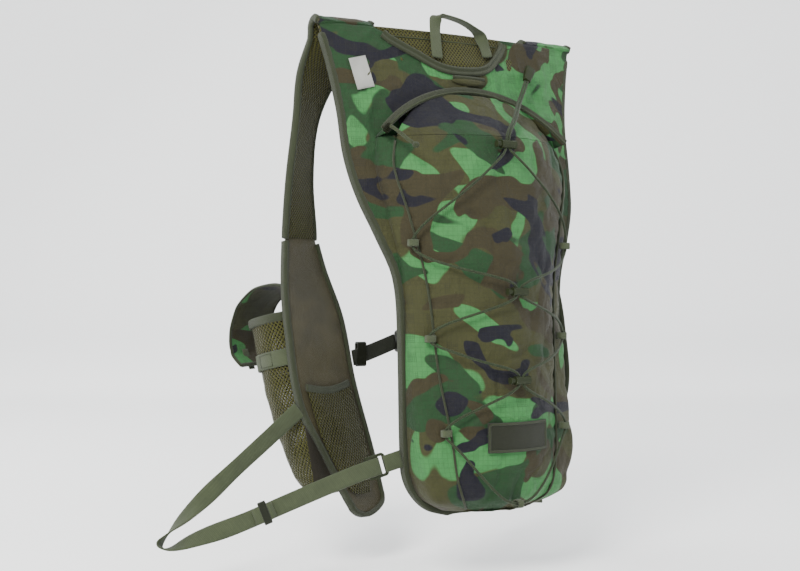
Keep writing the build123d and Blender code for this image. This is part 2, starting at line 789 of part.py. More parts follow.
# Sternum strap ---------------------------------------------------------------------------------------------
STERNUM_AT = Vector(-93.5, 153, -91)
BUCKLE_AT = Vector(0, 165, -72)
BUCKLE_HALF = 24.0
socket_end = BUCKLE_AT + Vector(-BUCKLE_HALF - 1, 0, 0)
with BuildPart() as sternum_strap:
    for place in (STERNUM_AT, (STERNUM_AT + socket_end) * 0.5 + Vector(0, 2, 2), socket_end):
        with BuildSketch(Plane(origin=place, x_dir=(0, 0, 1), z_dir=(1, 0, 0))):
            Rectangle(WEBBING, TAPE)
    loft(ruled=True)
save_pair(sternum_strap, "sternum_strap")

with BuildPart() as strap_adjuster:
    with BuildSketch(Plane(origin=STERNUM_AT + Vector(13, 3, 4.4), x_dir=(0, 0, 1), z_dir=(1, 0, 0))):
        RectangleRounded(31, 9, 3.5)
        Rectangle(WEBBING + 6, TAPE + 4, mode=Mode.SUBTRACT)
    extrude(amount=6, both=True)
save_group(strap_adjuster, "strap_adjusters")

BUCKLE = 9.0
buckle_plane = Plane(origin=BUCKLE_AT, x_dir=(1, 0, 0), z_dir=(0, 1, 0))
with BuildPart() as sternum_buckle_socket:
    with BuildSketch(buckle_plane.offset(-BUCKLE / 2)):
        with Locations((-9, 0)):
            RectangleRounded(30, 29, 5)
    extrude(amount=BUCKLE)
    with BuildSketch(buckle_plane.offset(-2.6)):
        with Locations((-4, 0)):
            Rectangle(22, 20)
    extrude(amount=5.2, mode=Mode.SUBTRACT)
    with BuildSketch(buckle_plane.offset(-2.6)):
        with Locations((-9, 0)):
            Rectangle(11, 40)
    extrude(amount=5.2, mode=Mode.SUBTRACT)
save(sternum_buckle_socket, "sternum_buckle_socket")

with BuildPart() as sternum_buckle_plug:
    with BuildSketch(buckle_plane.offset(-BUCKLE / 2)):
        with Locations((15.5, 0)):
            RectangleRounded(16, 27, 4)
    extrude(amount=BUCKLE)
    with BuildSketch(buckle_plane.offset(-2.2)):
        with Locations((0, 7), (0, -7)):
            Rectangle(22, 4)
        with Locations((0, 0)):
            Rectangle(20, 3)
    extrude(amount=4.4)
save(sternum_buckle_plug, "sternum_buckle_plug")
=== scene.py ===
"""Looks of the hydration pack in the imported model's frame. Design lengths are mm, meshes are metres."""

import math

import bpy
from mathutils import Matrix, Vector, noise


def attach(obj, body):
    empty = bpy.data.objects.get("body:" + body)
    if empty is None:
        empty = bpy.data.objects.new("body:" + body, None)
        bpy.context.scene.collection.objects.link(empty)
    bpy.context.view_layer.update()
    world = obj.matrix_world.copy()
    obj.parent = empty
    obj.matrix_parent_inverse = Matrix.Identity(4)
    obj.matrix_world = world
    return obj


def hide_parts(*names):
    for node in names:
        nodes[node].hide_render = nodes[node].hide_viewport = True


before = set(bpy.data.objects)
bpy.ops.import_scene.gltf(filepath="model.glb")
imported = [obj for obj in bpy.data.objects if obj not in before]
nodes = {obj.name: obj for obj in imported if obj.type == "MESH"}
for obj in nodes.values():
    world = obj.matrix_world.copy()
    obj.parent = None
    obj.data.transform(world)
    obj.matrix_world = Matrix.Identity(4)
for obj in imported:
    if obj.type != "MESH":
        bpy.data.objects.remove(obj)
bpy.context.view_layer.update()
MM = 0.001

# Camera --------------------------------------------------------------------------------------------------
CAMERA_AT = Vector((-0.790, -1.172, 0.0))
CAMERA_TO = Vector((-0.090, 0.040, 0.0))
camera_data = bpy.data.cameras.new("camera")
camera_data.sensor_width = 36.0
camera_data.lens = 53.55
camera = bpy.data.objects.new("camera", camera_data)
camera.location = CAMERA_AT
camera.rotation_euler = (CAMERA_TO - CAMERA_AT).to_track_quat("-Z", "Y").to_euler()
bpy.context.scene.collection.objects.link(camera)
bpy.context.scene.camera = camera


# Numbers along a line ------------------------------------------------------------------------------------
def at(pairs, x):
    """Smooth value at x through (x, value) pairs in rising order."""
    if x <= pairs[0][0]:
        return pairs[0][1]
    if x >= pairs[-1][0]:
        return pairs[-1][1]
    i = max(k for k in range(len(pairs) - 1) if pairs[k][0] <= x)
    slopes = []
    for k in (i, i + 1):
        a, b = pairs[max(k - 1, 0)], pairs[min(k + 1, len(pairs) - 1)]
        slopes.append((b[1] - a[1]) / (b[0] - a[0]))
    (x0, y0), (x1, y1) = pairs[i], pairs[i + 1]
    span = x1 - x0
    t = (x - x0) / span
    return (
        (2 * t**3 - 3 * t**2 + 1) * y0
        + (t**3 - 2 * t**2 + t) * span * slopes[0]
        + (3 * t**2 - 2 * t**3) * y1
        + (t**3 - t**2) * span * slopes[1]
    )


def smooth_path(points, steps=8, closed=False):
    """Catmull-Rom points through a list of vectors."""
    pts = [Vector(p) for p in points]
    count = len(pts)
    path = []
    for i in range(count if closed else count - 1):
        if closed:
            a, b, c, d = (pts[(i + k) % count] for k in (-1, 0, 1, 2))
        else:
            b, c = pts[i], pts[i + 1]
            a = pts[i - 1] if i else b * 2 - c
            d = pts[i + 2] if i + 2 < count else c * 2 - b
        for k in range(steps):
            t = k / steps
            path.append(
                0.5
                * (2 * b + (c - a) * t + (2 * a - 5 * b + 4 * c - d) * t**2 + (3 * b - a - 3 * c + d) * t**3)
            )
    if not closed:
        path.append(pts[-1])
    return path


def rumple(p, size, seed=0.0):
    """Soft noise between about -1 and 1."""
    return noise.fractal(Vector((p[0] / size + seed, p[1] / size, p[2] / size)), 0.9, 2.1, 3)


def crease(p, size, seed=0.0):
    """Ridged noise, near 1 on thin crease lines."""
    return 1 - min(1, 3.0 * abs(noise.noise(Vector((p[0] / size + seed, p[1] / size, p[2] / size)))))


# Meshes --------------------------------------------------------------------------------------------------
def finish_mesh(name, verts, faces, uvs, mats, face_mats=None, solid=0.0, subsurf=0, body="pack", offset=0.0):
    mesh = bpy.data.meshes.new(name)
    mesh.from_pydata([tuple(Vector(v) * MM) for v in verts], [], faces)
    layer = mesh.uv_layers.new(name="UVMap")
    for loop in mesh.loops:
        layer.data[loop.index].uv = [c * MM for c in uvs[loop.vertex_index]]
    for mat in mats:
        mesh.materials.append(mat)
    for i, face in enumerate(mesh.polygons):
        face.use_smooth = True
        if face_mats:
            face.material_index = face_mats[i]
    piece = bpy.data.objects.new(name, mesh)
    bpy.context.scene.collection.objects.link(piece)
    if solid:
        modifier = piece.modifiers.new("thick", "SOLIDIFY")
        modifier.thickness = solid * MM
        modifier.offset = offset
    if subsurf:
        modifier = piece.modifiers.new("smooth", "SUBSURF")
        modifier.levels = subsurf
        modifier.render_levels = subsurf
    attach(piece, body)
    return piece


def grid(name, rows, mats, **more):
    """Sheet through rows of points, with texture coordinates in true lengths."""
    count = len(rows[0])
    verts, uvs = [], []
    down = [0.0] * count
    for i, row in enumerate(rows):
        run = 0.0
        middle = 0.0
        runs = []
        for j, p in enumerate(row):
            if j:
                run += (Vector(p) - Vector(row[j - 1])).length
            if i:
                down[j] += (Vector(p) - Vector(rows[i - 1][j])).length
            runs.append(run)
        middle = runs[count // 2]
        for j, p in enumerate(row):
            verts.append(p)
            uvs.append((runs[j] - middle, down[count // 2]))
    faces = [
        (i * count + j, i * count + j + 1, (i + 1) * count + j + 1, (i + 1) * count + j)
        for i in range(len(rows) - 1)
        for j in range(count - 1)
    ]
    return finish_mesh(name, verts, faces, uvs, mats, **more)


def skin(name, loops, mats, split=None, caps=True, **more):
    """Closed skin over a row of closed loops. Points from split on take the second material."""
    count = len(loops[0])
    verts, uvs, faces, face_mats = [], [], [], []
    down = 0.0
    for i, loop in enumerate(loops):
        if i:
            down += (Vector(loop[0]) - Vector(loops[i - 1][0])).length
        run = 0.0
        for j, p in enumerate(loop):
            if j:
                run += (Vector(p) - Vector(loop[j - 1])).length
            verts.append(p)
            uvs.append((run, down))
    for i in range(len(loops) - 1):
        for j in range(count):
            k = (j + 1) % count
            faces.append((i * count + j, i * count + k, (i + 1) * count + k, (i + 1) * count + j))
            face_mats.append(1 if split is not None and j >= split else 0)
    if caps:
        faces.append(tuple(reversed(range(count))))
        faces.append(tuple((len(loops) - 1) * count + j for j in range(count)))
        face_mats += [0, 0]
    return finish_mesh(name, verts, faces, uvs, mats, face_mats if split is not None else None, **more)


def oval(wide, thick, count):
    """Profile of a round or oval roll."""
    return [
        (wide * math.cos(k * math.pi / (count / 2)), thick * math.sin(k * math.pi / (count / 2)))
        for k in range(count)
    ]


def band(width, thick, ridge=0.0):
    """Section of a webbing: rounded edges, with a slight ridge along its middle."""
    w, t = width / 2, thick / 2
    face = [(-w + 0.8, t), (-w * 0.55, t), (0, t + ridge), (w * 0.55, t), (w - 0.8, t)]
    return face + [(w, 0)] + [(-a, -b) for a, b in face] + [(-w, 0)]


def sweep(name, centres, wides, section, mats, closed=False, **more):
    """Section swept along centres, its first axis along the matching wide vector."""
    loops = []
    count = len(centres)
    for i, (c, w) in enumerate(zip(centres, wides)):
        before = centres[i - 1] if (i or closed) else c
        after = centres[(i + 1) % count] if (i < count - 1 or closed) else c
        run = (Vector(after) - Vector(before)).normalized()
        wide = (Vector(w) - run * Vector(w).dot(run)).normalized()
        face = run.cross(wide)
        loops.append([Vector(c) + wide * a + face * b for a, b in section])
    if closed:
        loops.append(loops[0])
    return skin(name, loops, mats, caps=not closed, **more)


# Materials -----------------------------------------------------------------------------------------------
def linear(r, g, b, depth=0.36, vivid=1.3):
    """Linear colour of a display colour in 0 to 255, deeper and more vivid for the bright studio."""
    values = [((c / 255 + 0.055) / 1.055) ** 2.4 if c > 10 else c / 255 / 12.92 for c in (r, g, b)]
    grey = sum(values) / 3
    return tuple(max(0.0, depth * (grey + vivid * (value - grey))) for value in values) + (1.0,)


class Graph:
    """Short way to write a material's nodes."""

    def __init__(self, name):
        self.mat = bpy.data.materials.new(name)
        self.mat.use_nodes = True
        self.tree = self.mat.node_tree
        self.shader = self.tree.nodes["Principled BSDF"]
        self.coord = self.tree.nodes.new("ShaderNodeTexCoord")

    def set(self, socket, value):
        if isinstance(value, bpy.types.NodeSocket):
            self.tree.links.new(value, socket)
        else:
            socket.default_value = value

    def node(self, kind, out=0, attrs=None, **inputs):
        item = self.tree.nodes.new(kind)
        for key, value in (attrs or {}).items():
            setattr(item, key, value)
        for key, value in inputs.items():
            self.set(item.inputs[int(key[1:])] if key[0] == "i" and key[1:].isdigit() else item.inputs[key],
                value)
        return item.outputs[out]

    def math(self, operation, a, b=0.0, c=0.0):
        return self.node("ShaderNodeMath", attrs={"operation": operation}, i0=a, i1=b, i2=c)

    def noise(self, scale, detail=2.0, distortion=0.0, vector=None, shift=0.0):
        vector = vector or self.coord.outputs["Object"]
        if shift:
            vector = self.node("ShaderNodeVectorMath", i0=vector, i1=(shift, shift * 0.7, shift * 1.3))
        return self.node("ShaderNodeTexNoise", Vector=vector, Scale=scale, Detail=detail,
            Distortion=distortion)

    def edge(self, value, threshold, soft=0.012):
        return self.node(
            "ShaderNodeMapRange", i0=value, i1=threshold - soft, i2=threshold + soft, i3=0.0, i4=1.0
        )

    def mix(self, share, a, b):
        return self.node("ShaderNodeMix", out=2, attrs={"data_type": "RGBA"}, i0=share, i6=a, i7=b)

    def axes(self, source="UV"):
        parts = self.tree.nodes.new("ShaderNodeSeparateXYZ")
        self.tree.links.new(self.coord.outputs[source], parts.inputs[0])
        return parts.outputs

    def lines(self, value, period, share):
        """1 on a thin line every period, for a share of it."""
        step = self.math("FRACT", self.math("DIVIDE", value, period))
        return self.math("LESS_THAN", step, share)

    def bump(self, height, distance, strength=1.0, normal=None):
        made = self.tree.nodes.new("ShaderNodeBump")
        made.inputs["Strength"].default_value = strength
        made.inputs["Distance"].default_value = distance
        self.tree.links.new(height, made.inputs["Height"])
        if normal is not None:
            self.tree.links.new(normal, made.inputs["Normal"])
        return made.outputs[0]

    def done(self, colour, rough, normal=None, sheen=0.0, **more):
        self.set(self.shader.inputs["Base Color"], colour)
        self.set(self.shader.inputs["Roughness"], rough)
        self.set(self.shader.inputs["Sheen Weight"], sheen * 0.3)
        self.set(self.shader.inputs["Specular IOR Level"], 0.14)
        if normal is not None:
            self.set(self.shader.inputs["Normal"], normal)
        for key, value in more.items():
            self.set(self.shader.inputs[key.replace("_", " ")], value)
        return self.mat


LIGHT_GREEN, DARK_GREEN = linear(100, 162, 104), linear(50, 82, 52)
BROWN, OLIVE, BLACK = linear(72, 67, 48), linear(80, 81, 54), linear(34, 34, 44)


def camouflage(name, source="UV"):
    g = Graph(name)
    place = g.coord.outputs["Object"]
    pull = g.node("ShaderNodeVectorMath", attrs={"operation": "MULTIPLY"}, i0=place, i1=(1.0, 0.8, 1.25))
    colour = g.mix(g.edge(g.noise(7.5, 1.2, 0.9, pull, 1.3), 0.475, 0.004), LIGHT_GREEN, OLIVE)
    colour = g.mix(g.edge(g.noise(8.0, 1.3, 1.1, pull, 3.1), 0.545, 0.004), colour, DARK_GREEN)
    colour = g.mix(g.edge(g.noise(9.5, 1.4, 1.2, pull, 7.7), 0.560, 0.004), colour, BROWN)
    colour = g.mix(g.edge(g.noise(9.0, 1.6, 1.5, pull, 12.3), 0.600, 0.004), colour, BLACK)
    u, v, _ = g.axes(source) if source == "UV" else (g.axes(source)[0], g.axes(source)[2], None)
    thread = g.math("MAXIMUM", g.lines(u, 0.0055, 0.11), g.lines(v, 0.0055, 0.11))
    patches = g.math("MULTIPLY", g.lines(u, 0.0275, 0.5), g.lines(v, 0.022, 0.5))
    fine = g.math("MAXIMUM", g.lines(u, 0.0022, 0.22), g.lines(v, 0.0022, 0.22))
    somewhere = g.math("MULTIPLY", patches, g.edge(g.noise(14, 1, 0.0, None, 21.0), 0.52, 0.02))
    colour = g.mix(g.math("MULTIPLY", g.math("MULTIPLY", fine, somewhere), 0.45), colour, linear(52, 52, 44))
    colour = g.mix(g.math("MULTIPLY", thread, 0.20), colour, linear(56, 58, 46))
    dirt = g.noise(140, 5, 0.2)
    colour = g.mix(g.math("MULTIPLY", g.edge(dirt, 0.6, 0.2), 0.18), colour, linear(60, 56, 46))
    weave = g.math("MULTIPLY", g.math("SINE", g.math("MULTIPLY", u, 9000.0)), 0.3)
    weave = g.math("ADD", weave, g.math("MULTIPLY", g.math("SINE", g.math("MULTIPLY", v, 9000.0)), 0.3))
    normal = g.bump(g.math("ADD", thread, weave), 0.00035, 0.55)
    normal = g.bump(g.noise(38, 5, 1.1), 0.0055, 0.55, normal)
    return g.done(colour, 0.62, normal, sheen=0.12)


def woven(name, rgb, dark=0.62, period=0.0022, rough=0.78):
    """Webbing or tape: ribs across the width and fine picks along it."""
    g = Graph(name)
    u, v, _ = g.axes()
    ribs = g.math("SINE", g.math("MULTIPLY", u, 6.2832 / period))
    picks = g.math("SINE", g.math("MULTIPLY", v, 6.2832 / (period * 0.55)))
    height = g.math("MULTIPLY", ribs, picks)
    base = linear(*rgb)
    shade = linear(*(c * dark for c in rgb))
    colour = g.mix(g.edge(height, 0.0, 0.9), shade, base)
    colour = g.mix(g.math("MULTIPLY", g.edge(g.noise(55, 4, 0.4), 0.55, 0.2), 0.35), colour, shade)
    return g.done(colour, rough, g.bump(height, 0.0005, 0.7), sheen=0.3)


def netting(name, rgb, cell, hole, see_through, rough=0.7):
    """Knit with staggered oval holes."""
    g = Graph(name)
    u, v, _ = g.axes()
    a = g.math("SINE", g.math("MULTIPLY", u, 6.2832 / cell))
    b = g.math("SINE", g.math("MULTIPLY", v, 6.2832 / (cell * 1.25)))
    knit = g.math("MULTIPLY", a, b)
    open_ = g.edge(knit, hole, 0.14)
    # The holes take a dark copy of the yarn colour: painted shade in the gaps of the knit.
    colour = g.mix(open_, linear(*rgb), linear(*(c * 0.28 for c in rgb)))
    colour = g.mix(g.math("MULTIPLY", g.edge(g.noise(50, 4), 0.5, 0.25), 0.3), colour,
        linear(*(c * 0.6 for c in rgb)))
    normal = g.bump(g.math("MULTIPLY", knit, -1.0), 0.0010, 0.7)
    alpha = g.math("SUBTRACT", 1.0, g.math("MULTIPLY", open_, see_through))
    return g.done(colour, rough, normal, sheen=0.25, Alpha=alpha)


def plain_cloth(name, rgb, rough=0.5, sheen=0.1, crumple=0.0016):
    g = Graph(name)
    u, v, _ = g.axes()
    weave = g.math(
        "MULTIPLY", g.math("SINE", g.math("MULTIPLY", u, 7000.0)),
        g.math("SINE", g.math("MULTIPLY", v, 7000.0))
    )
    base = linear(*rgb)
    colour = g.mix(g.edge(g.noise(26, 5, 0.8), 0.52, 0.2), base, linear(*(c * 0.78 for c in rgb)))
    normal = g.bump(g.noise(45, 5, 0.9), crumple, 0.7, g.bump(weave, 0.0002, 0.5))
    return g.done(colour, rough, normal, sheen=sheen)


def moulded(name, rgb, rough=0.42, metallic=0.0, grain=0.0002):
    g = Graph(name)
    base = linear(*rgb)
    scuffs = g.edge(g.noise(420, 6, 0.5), 0.6, 0.12)
    colour = g.mix(g.math("MULTIPLY", scuffs, 0.4), base, linear(*(min(255, c * 1.5) for c in rgb)))
    rough_map = g.math("ADD", rough, g.math("MULTIPLY", scuffs, 0.18))
    return g.done(colour, rough_map, g.bump(g.noise(900, 3), grain, 0.6), Metallic=metallic)


def braided(name, rgb, fleck):
    g = Graph(name)
    wave = g.node("ShaderNodeTexVoronoi", Vector=g.coord.outputs["Object"], Scale=900.0)
    colour = g.mix(g.edge(wave, 0.45, 0.2), linear(*rgb), linear(*fleck))
    return g.done(colour, 0.7, g.bump(wave, 0.0004, 0.8), sheen=0.3)


CAMO = camouflage("camo_ripstop")
BINDING = woven("edge_tape", (88, 95, 72))
WEB = woven("webbing_olive", (118, 128, 100), period=0.0028)
# Dark webbing. On the sternum straps its darkness is painted shade, since those straps are seen from their
# inner face, in shadow.
WEB_DARK = woven("webbing_dark", (56, 61, 44))
ZIP_TAPE = woven("zip_tape", (78, 85, 60), period=0.0016)
MESH = netting("pocket_mesh", (88, 88, 48), 0.0050, 0.16, 0.55)
SPACER = netting("spacer_mesh", (92, 92, 54), 0.0046, 0.30, 0.0, rough=0.85)
LINING = plain_cloth("coated_lining", (100, 95, 74), rough=0.33)
DARK_CLOTH = plain_cloth("inner_cloth", (58, 54, 44), rough=0.6)
LABEL = plain_cloth("label_cloth", (226, 226, 220), rough=0.7, crumple=0.0003)
PATCH = woven("patch_thread", (62, 66, 48), period=0.0012)
CORD = braided("elastic_sheath", (76, 88, 62), (46, 54, 38))
PULL_CORD = braided("pull_braid", (84, 94, 66), (56, 62, 44))
THREAD = braided("seam_thread", (78, 86, 62), (58, 64, 46))
PLASTIC = moulded("acetal_olive", (54, 60, 42))
BUCKLE = moulded("acetal_dark", (36, 38, 30))
ZIP_METAL = moulded("zip_enamel", (50, 52, 40), rough=0.35, metallic=0.6)
STEEL = moulded("spring_steel", (176, 176, 176), rough=0.28, metallic=1.0)
FILM = moulded("bladder_film", (150, 176, 190), rough=0.18)
CAP = moulded("bladder_cap_plastic", (60, 72, 92), rough=0.4)


def dress(name, material):
    """Give a hard CAD node its material."""
    piece = nodes[name]
    piece.data.materials.clear()
    piece.data.materials.append(material)


for label in ("1", "2", "3"):
    dress(f"cord_lock_body_{label}", PLASTIC)
    dress(f"cord_lock_plunger_{label}", PLASTIC)
for label in ("left", "right"):
    dress(f"triglide_{label}", PLASTIC)
    dress(f"panel_zip_slider_{label}", ZIP_METAL)
for label in ("strap_adjusters", "sternum_buckle_socket", "sternum_buckle_plug"):
    dress(label, BUCKLE)
for label in ("reservoir_cap", "reservoir_outlet"):
    dress(label, CAP)
dress("cord_lock_springs", STEEL)
dress("main_zip_slider", ZIP_METAL)
dress("cord_end", PLASTIC)

# Back panel ----------------------------------------------------------------------------------------------
BACK_CENTRE = [(-275, 0), (-100, 0), (0, 0), (80, 6), (140, 16), (200, 32), (260, 48), (325, 67)]
BACK_WRAP = [(-275, 10), (-100, 18), (0, 22), (80, 28), (140, 34), (200, 30), (260, 22), (325, 12)]
HALF_WIDTH = [
    (-262, 56), (-256, 77), (-243, 93), (-225, 104), (-205, 108), (-60, 110), (10, 115), (58, 133),
    (101, 149), (150, 158), (205, 161), (262, 170), (306, 181),
]
NECK = [(-118, 306), (-92, 295), (-62, 280), (-34, 267), (0, 264), (28, 270), (52, 292), (60, 306)]
BOTTOM, TOP = -262.0, 306.0
SHELL = -9.9


def back_y(x, z):
    return at(BACK_CENTRE, z) + at(BACK_WRAP, z) * (x / 160) ** 2


def shell_top(x):
    return TOP if x < NECK[0][0] or x > NECK[-1][0] else min(TOP, at(NECK, x))


def back_rows(face, top_of, swell, step=110, across=90):
    rows = []
    for i in range(step + 1):
        row = []
        for j in range(across + 1):
            u = 2 * j / across - 1
            z_top = TOP
            for _ in range(4):
                z_top = top_of(u * at(HALF_WIDTH, z_top))
            z = BOTTOM + (z_top - BOTTOM) * i / step
            x = u * at(HALF_WIDTH, z)
            row.append(Vector((x, back_y(x, z) + face + swell(x, z, u), z)))
        rows.append(row)
    return rows


def shell_swell(x, z, u):
    """The shell rumples a little, and is pulled tight at its bound edges."""
    free = min(1.0, (1 - abs(u)) * 5)
    p = (x, 0, z)
    pull = 0.5 * math.sin(z / 2.3) * math.exp(-(1 - abs(u)) * at(HALF_WIDTH, z) / 9)
    return free * (-2.4 * rumple(p, 48, 2) - 2.0 * max(0, crease(p, 42, 5)) ** 3) + 0.6 * free - pull


shell = grid("back_shell_cloth", back_rows(SHELL, shell_top, shell_swell, 190, 130), [CAMO], solid=1.2)
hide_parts("back_shell")


def pad_swell(x, z, u):
    """Quilted channels on the wearer's face."""
    channel = abs(math.sin(math.pi * (z + 20) / 96))
    return -1.6 * (1 - min(1, channel * 3.5)) - 1.2 * math.exp(-abs(x) / 7)


pad = grid("back_pad_mesh", back_rows(-4.2, lambda x: TOP, pad_swell), [SPACER], solid=7.0, subsurf=1)
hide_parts("back_pad")


def outline(z_from=BOTTOM, grow=0.0, steps=120):
    """Edge of the back panel from the left shoulder round the bottom to the right shoulder."""
    heights = [296 - (296 - BOTTOM) * math.sin(math.pi * k / steps / 2) for k in range(steps + 1)]
    left = [(-at(HALF_WIDTH, z) - grow, z) for z in heights]
    foot = [(x, BOTTOM - grow) for x in range(-48, 49, 8)]
    return left + foot + [(-x, z) for x, z in reversed(left)]


rim = outline(grow=-1.5)
rim_at = [Vector((x, back_y(x, z) - 4.6, z)) for x, z in rim]
rim_wide = [Vector((0, 1, 0))] * len(rim_at)
edge_profile = [
    (-6.6, -3.6), (-6.9, 0), (-6.2, 3.0), (-3, 4.2), (0, 4.5), (3, 4.2), (5.2, 3.0), (5.6, 0), (5.4, -3.6),
    (4, -4.2),
    (-5, -4.2),
]
edging = sweep("back_edge_tape", rim_at, rim_wide, edge_profile, [BINDING], subsurf=1)
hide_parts("edge_binding")

neck_path = smooth_path([(x, 0, z) for x, z in ((-106, 298), (-95, 290), (-64, 274.5), (-36, 261.5),
    (-4, 258.5),
                                                (32, 265), (57, 289), (63, 301))], 10)
neck_at = [Vector((p.x, back_y(p.x, p.z) + SHELL - 2.2, p.z)) for p in neck_path]
neck_wide = []
for i, p in enumerate(neck_at):
    run = neck_at[min(i + 1, len(neck_at) - 1)] - neck_at[max(i - 1, 0)]
    neck_wide.append(run.cross(Vector((0, 1, 0))).normalized())
RIDGES = [(-5.6, 0.3), (-4.6, 1.6), (-3, 2.2), (-1.4, 1.4), (0, 0.7), (1.4, 1.4), (3, 2.2), (4.6, 1.6),
    (5.6, 0.3),
          (5.4, -1), (-5.4, -1)]
neck = sweep("neck_tape", neck_at, neck_wide, RIDGES, [BINDING], subsurf=1)
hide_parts("neck_binding")

roll_x = range(-112, 113, 8)
sweep(
    "pad_top_roll", [Vector((x, back_y(x, 303) - 4, 303.5)) for x in roll_x],
    [Vector((0, 0, 1))] * len(roll_x),
    oval(3.8, 4.4, 12), [SPACER],
)
sweep(
    "pad_top_seam", [Vector((x, back_y(x, 296) - 8.4, 296)) for x in roll_x],
    [Vector((0, 0, 1))] * len(roll_x),
    oval(0.8, 0.8, 8), [THREAD],
)

# Pouch ---------------------------------------------------------------------------------------------------
POUCH = [
    (-259, 62, 42, -30, -44), (-243, 90, 58, -48, -64), (-215, 102, 68, -50, -70), (-170, 106, 73, -46, -73),
    (-100, 107, 81, -32, -71), (0, 108, 89, -20, -66), (80, 122, 107, -10, -57), (136, 130, 120, 2, -48),
    (172, 125, 112, 12, -42),
]
TOP_PANEL = [(172, 125, 112, 12, -42), (192, 110, 98, 17, -22), (212, 86, 76, 20, -2), (227, 56, 48, 22, 13)]


def column(stations, k):
    return [(s[0], s[k]) for s in stations]


def front_point(stations, u, z):
    """Place on the front face, u from -1 at the left seam to 1 at the right one, and its outward normal."""
    seam, depth, middle = (at(column(stations, k), z) for k in (2, 3, 4))
    sag = max(depth - middle, 4)
    radius = (seam**2 + sag**2) / (2 * sag)
    angle = u * math.asin(min(1, seam / radius))
    normal = Vector((math.sin(angle), -math.cos(angle), 0))
    return Vector((0, middle + radius, z)) + normal * radius, normal


def pouch_swell(p, u, z, span):
    """Packed cloth: soft lumps, pulled flat and puckered at the seams."""
    free = min(1.0, (1 - abs(u)) * 4.5)
    pucker = 0.9 * math.sin(z / 2.6 + 3 * rumple((0, 0, z), 30)) * math.exp(-(1 - abs(u)) * span / 10)
    lump = 3.4 * rumple(p, 75, 11) + 1.5 * rumple(p, 26, 4)
    fold = -2.8 * max(0, crease((p[0] * 1.2, 0, p[2] * 0.7), 58, 9)) ** 3
    fold -= 1.5 * max(0, crease(p, 30, 15)) ** 4
    return free * (lump + fold) - 1.2 + pucker


def pouch_face(name, stations, z_from, z_to, steps, across, node):
    rows = []
    for i in range(steps + 1):
        z = z_from + (z_to - z_from) * i / steps
        row = []
        for j in range(across + 1):
            u = 2 * j / across - 1
            p, normal = front_point(stations, u, z)
            row.append(p + normal * pouch_swell(p, u, z, at(column(stations, 2), z)))
        rows.append(row)
    piece = grid(name, rows, [CAMO], solid=1.2, subsurf=1)
    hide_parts(node)
    return piece


pouch_face("pouch_front_cloth", POUCH, -258, 172, 130, 66, "pouch_front")
pouch_face("pouch_top_cloth", TOP_PANEL, 172, 226, 26, 66, "pouch_top")

for side, label in ((-1, "left"), (1, "right")):
    rows = []
    for i in range(121):
        z = -258 + (172 + 258) * i / 120
        seam, depth = at(column(POUCH, 2), z), at(column(POUCH, 3), z)
        back = at(column(POUCH, 1), z)
        wall_y = back_y(back, z) + SHELL
        stops = [Vector((side * seam, depth - 0.4, z)),
            Vector((side * (seam + 0.55 * (back - seam)), depth + 5, z)),
                 Vector((side * back, min(depth + 14, wall_y - 2), z)), Vector((side * back, wall_y, z))]
        row = []
        for k, p in enumerate(smooth_path(stops, 7)):
            free = math.sin(math.pi * k / 21)
            fold = 2.6 * max(0, crease((p.x * 0.4, p.y * 0.4, p.z), 44, 3)) ** 3
            swell = free * (2.4 * rumple(p, 34, 8) - fold)
            row.append(p + Vector((side * 0.8, -0.6, 0)) * swell)
        rows.append(row)
    gusset = grid(f"pouch_side_{label}_cloth", rows, [CAMO], solid=1.2, subsurf=1)
    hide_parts(f"pouch_side_{label}")
    seam_path = [front_point(POUCH, side * 0.998, z) for z in range(-254, 168, 4)]
    sweep(
        f"pouch_seam_{label}", [p + n * 0.6 for p, n in seam_path],
        [Vector((1, 0, 0))] * len(seam_path),
        oval(1.5, 1.3, 8), [BINDING],
    )

bottom_rows = []
for i in range(15):
    share = i / 14
    row = []
    for j in range(41):
        u = 2 * j / 40 - 1
        p, _ = front_point(POUCH, u, -256)
        back = Vector((u * 62, back_y(u * 62, -256) + SHELL, -256))
        q = p.lerp(back, share)
        q.z = -257.5 + 1.2 * rumple(q, 24, 6)
        row.append(q)
    bottom_rows.append(row)
floor_cloth = grid("pouch_bottom_cloth", bottom_rows, [CAMO], solid=1.2)
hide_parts("pouch_bottom")

# Main zip ------------------------------------------------------------------------------------------------
LEAN = math.radians(15)
ZIP_AT = Vector((0, -22.5, 65))
ZIP_OUT = Vector((0, -math.cos(LEAN), math.sin(LEAN)))
ZIP_UP = Vector((0, math.sin(LEAN), math.cos(LEAN)))


def arch(angle, radius, lift=0.0):
    turn = math.radians(90 + angle)
    across = Vector((1, 0, 0)) * radius * math.cos(turn)
    return ZIP_AT + across + ZIP_UP * radius * math.sin(turn) + ZIP_OUT * lift


ARCH = [48 - k for k in range(97)]
zip_line = [arch(a, 174.2, -0.6) for a in ARCH]
zip_wide = [(arch(a, 180) - arch(a, 170)).normalized() for a in ARCH]
zip_tape = sweep("main_zip_cloth", zip_line, zip_wide, band(9.4, 1.6), [ZIP_TAPE])
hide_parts("main_zip_tape")
sweep("main_zip_coil", [arch(a, 172, 0.2) for a in ARCH], zip_wide,
      oval(1.3, 0.9, 8), [THREAD])
skirt = []
for a in ARCH:
    tip = arch(a, 170, -0.8)
    skirt.append([tip, tip + Vector((0, 14, -2)), tip + Vector((0, 32, -4))])
grid("main_zip_skirt", skirt, [CAMO], solid=1.0)


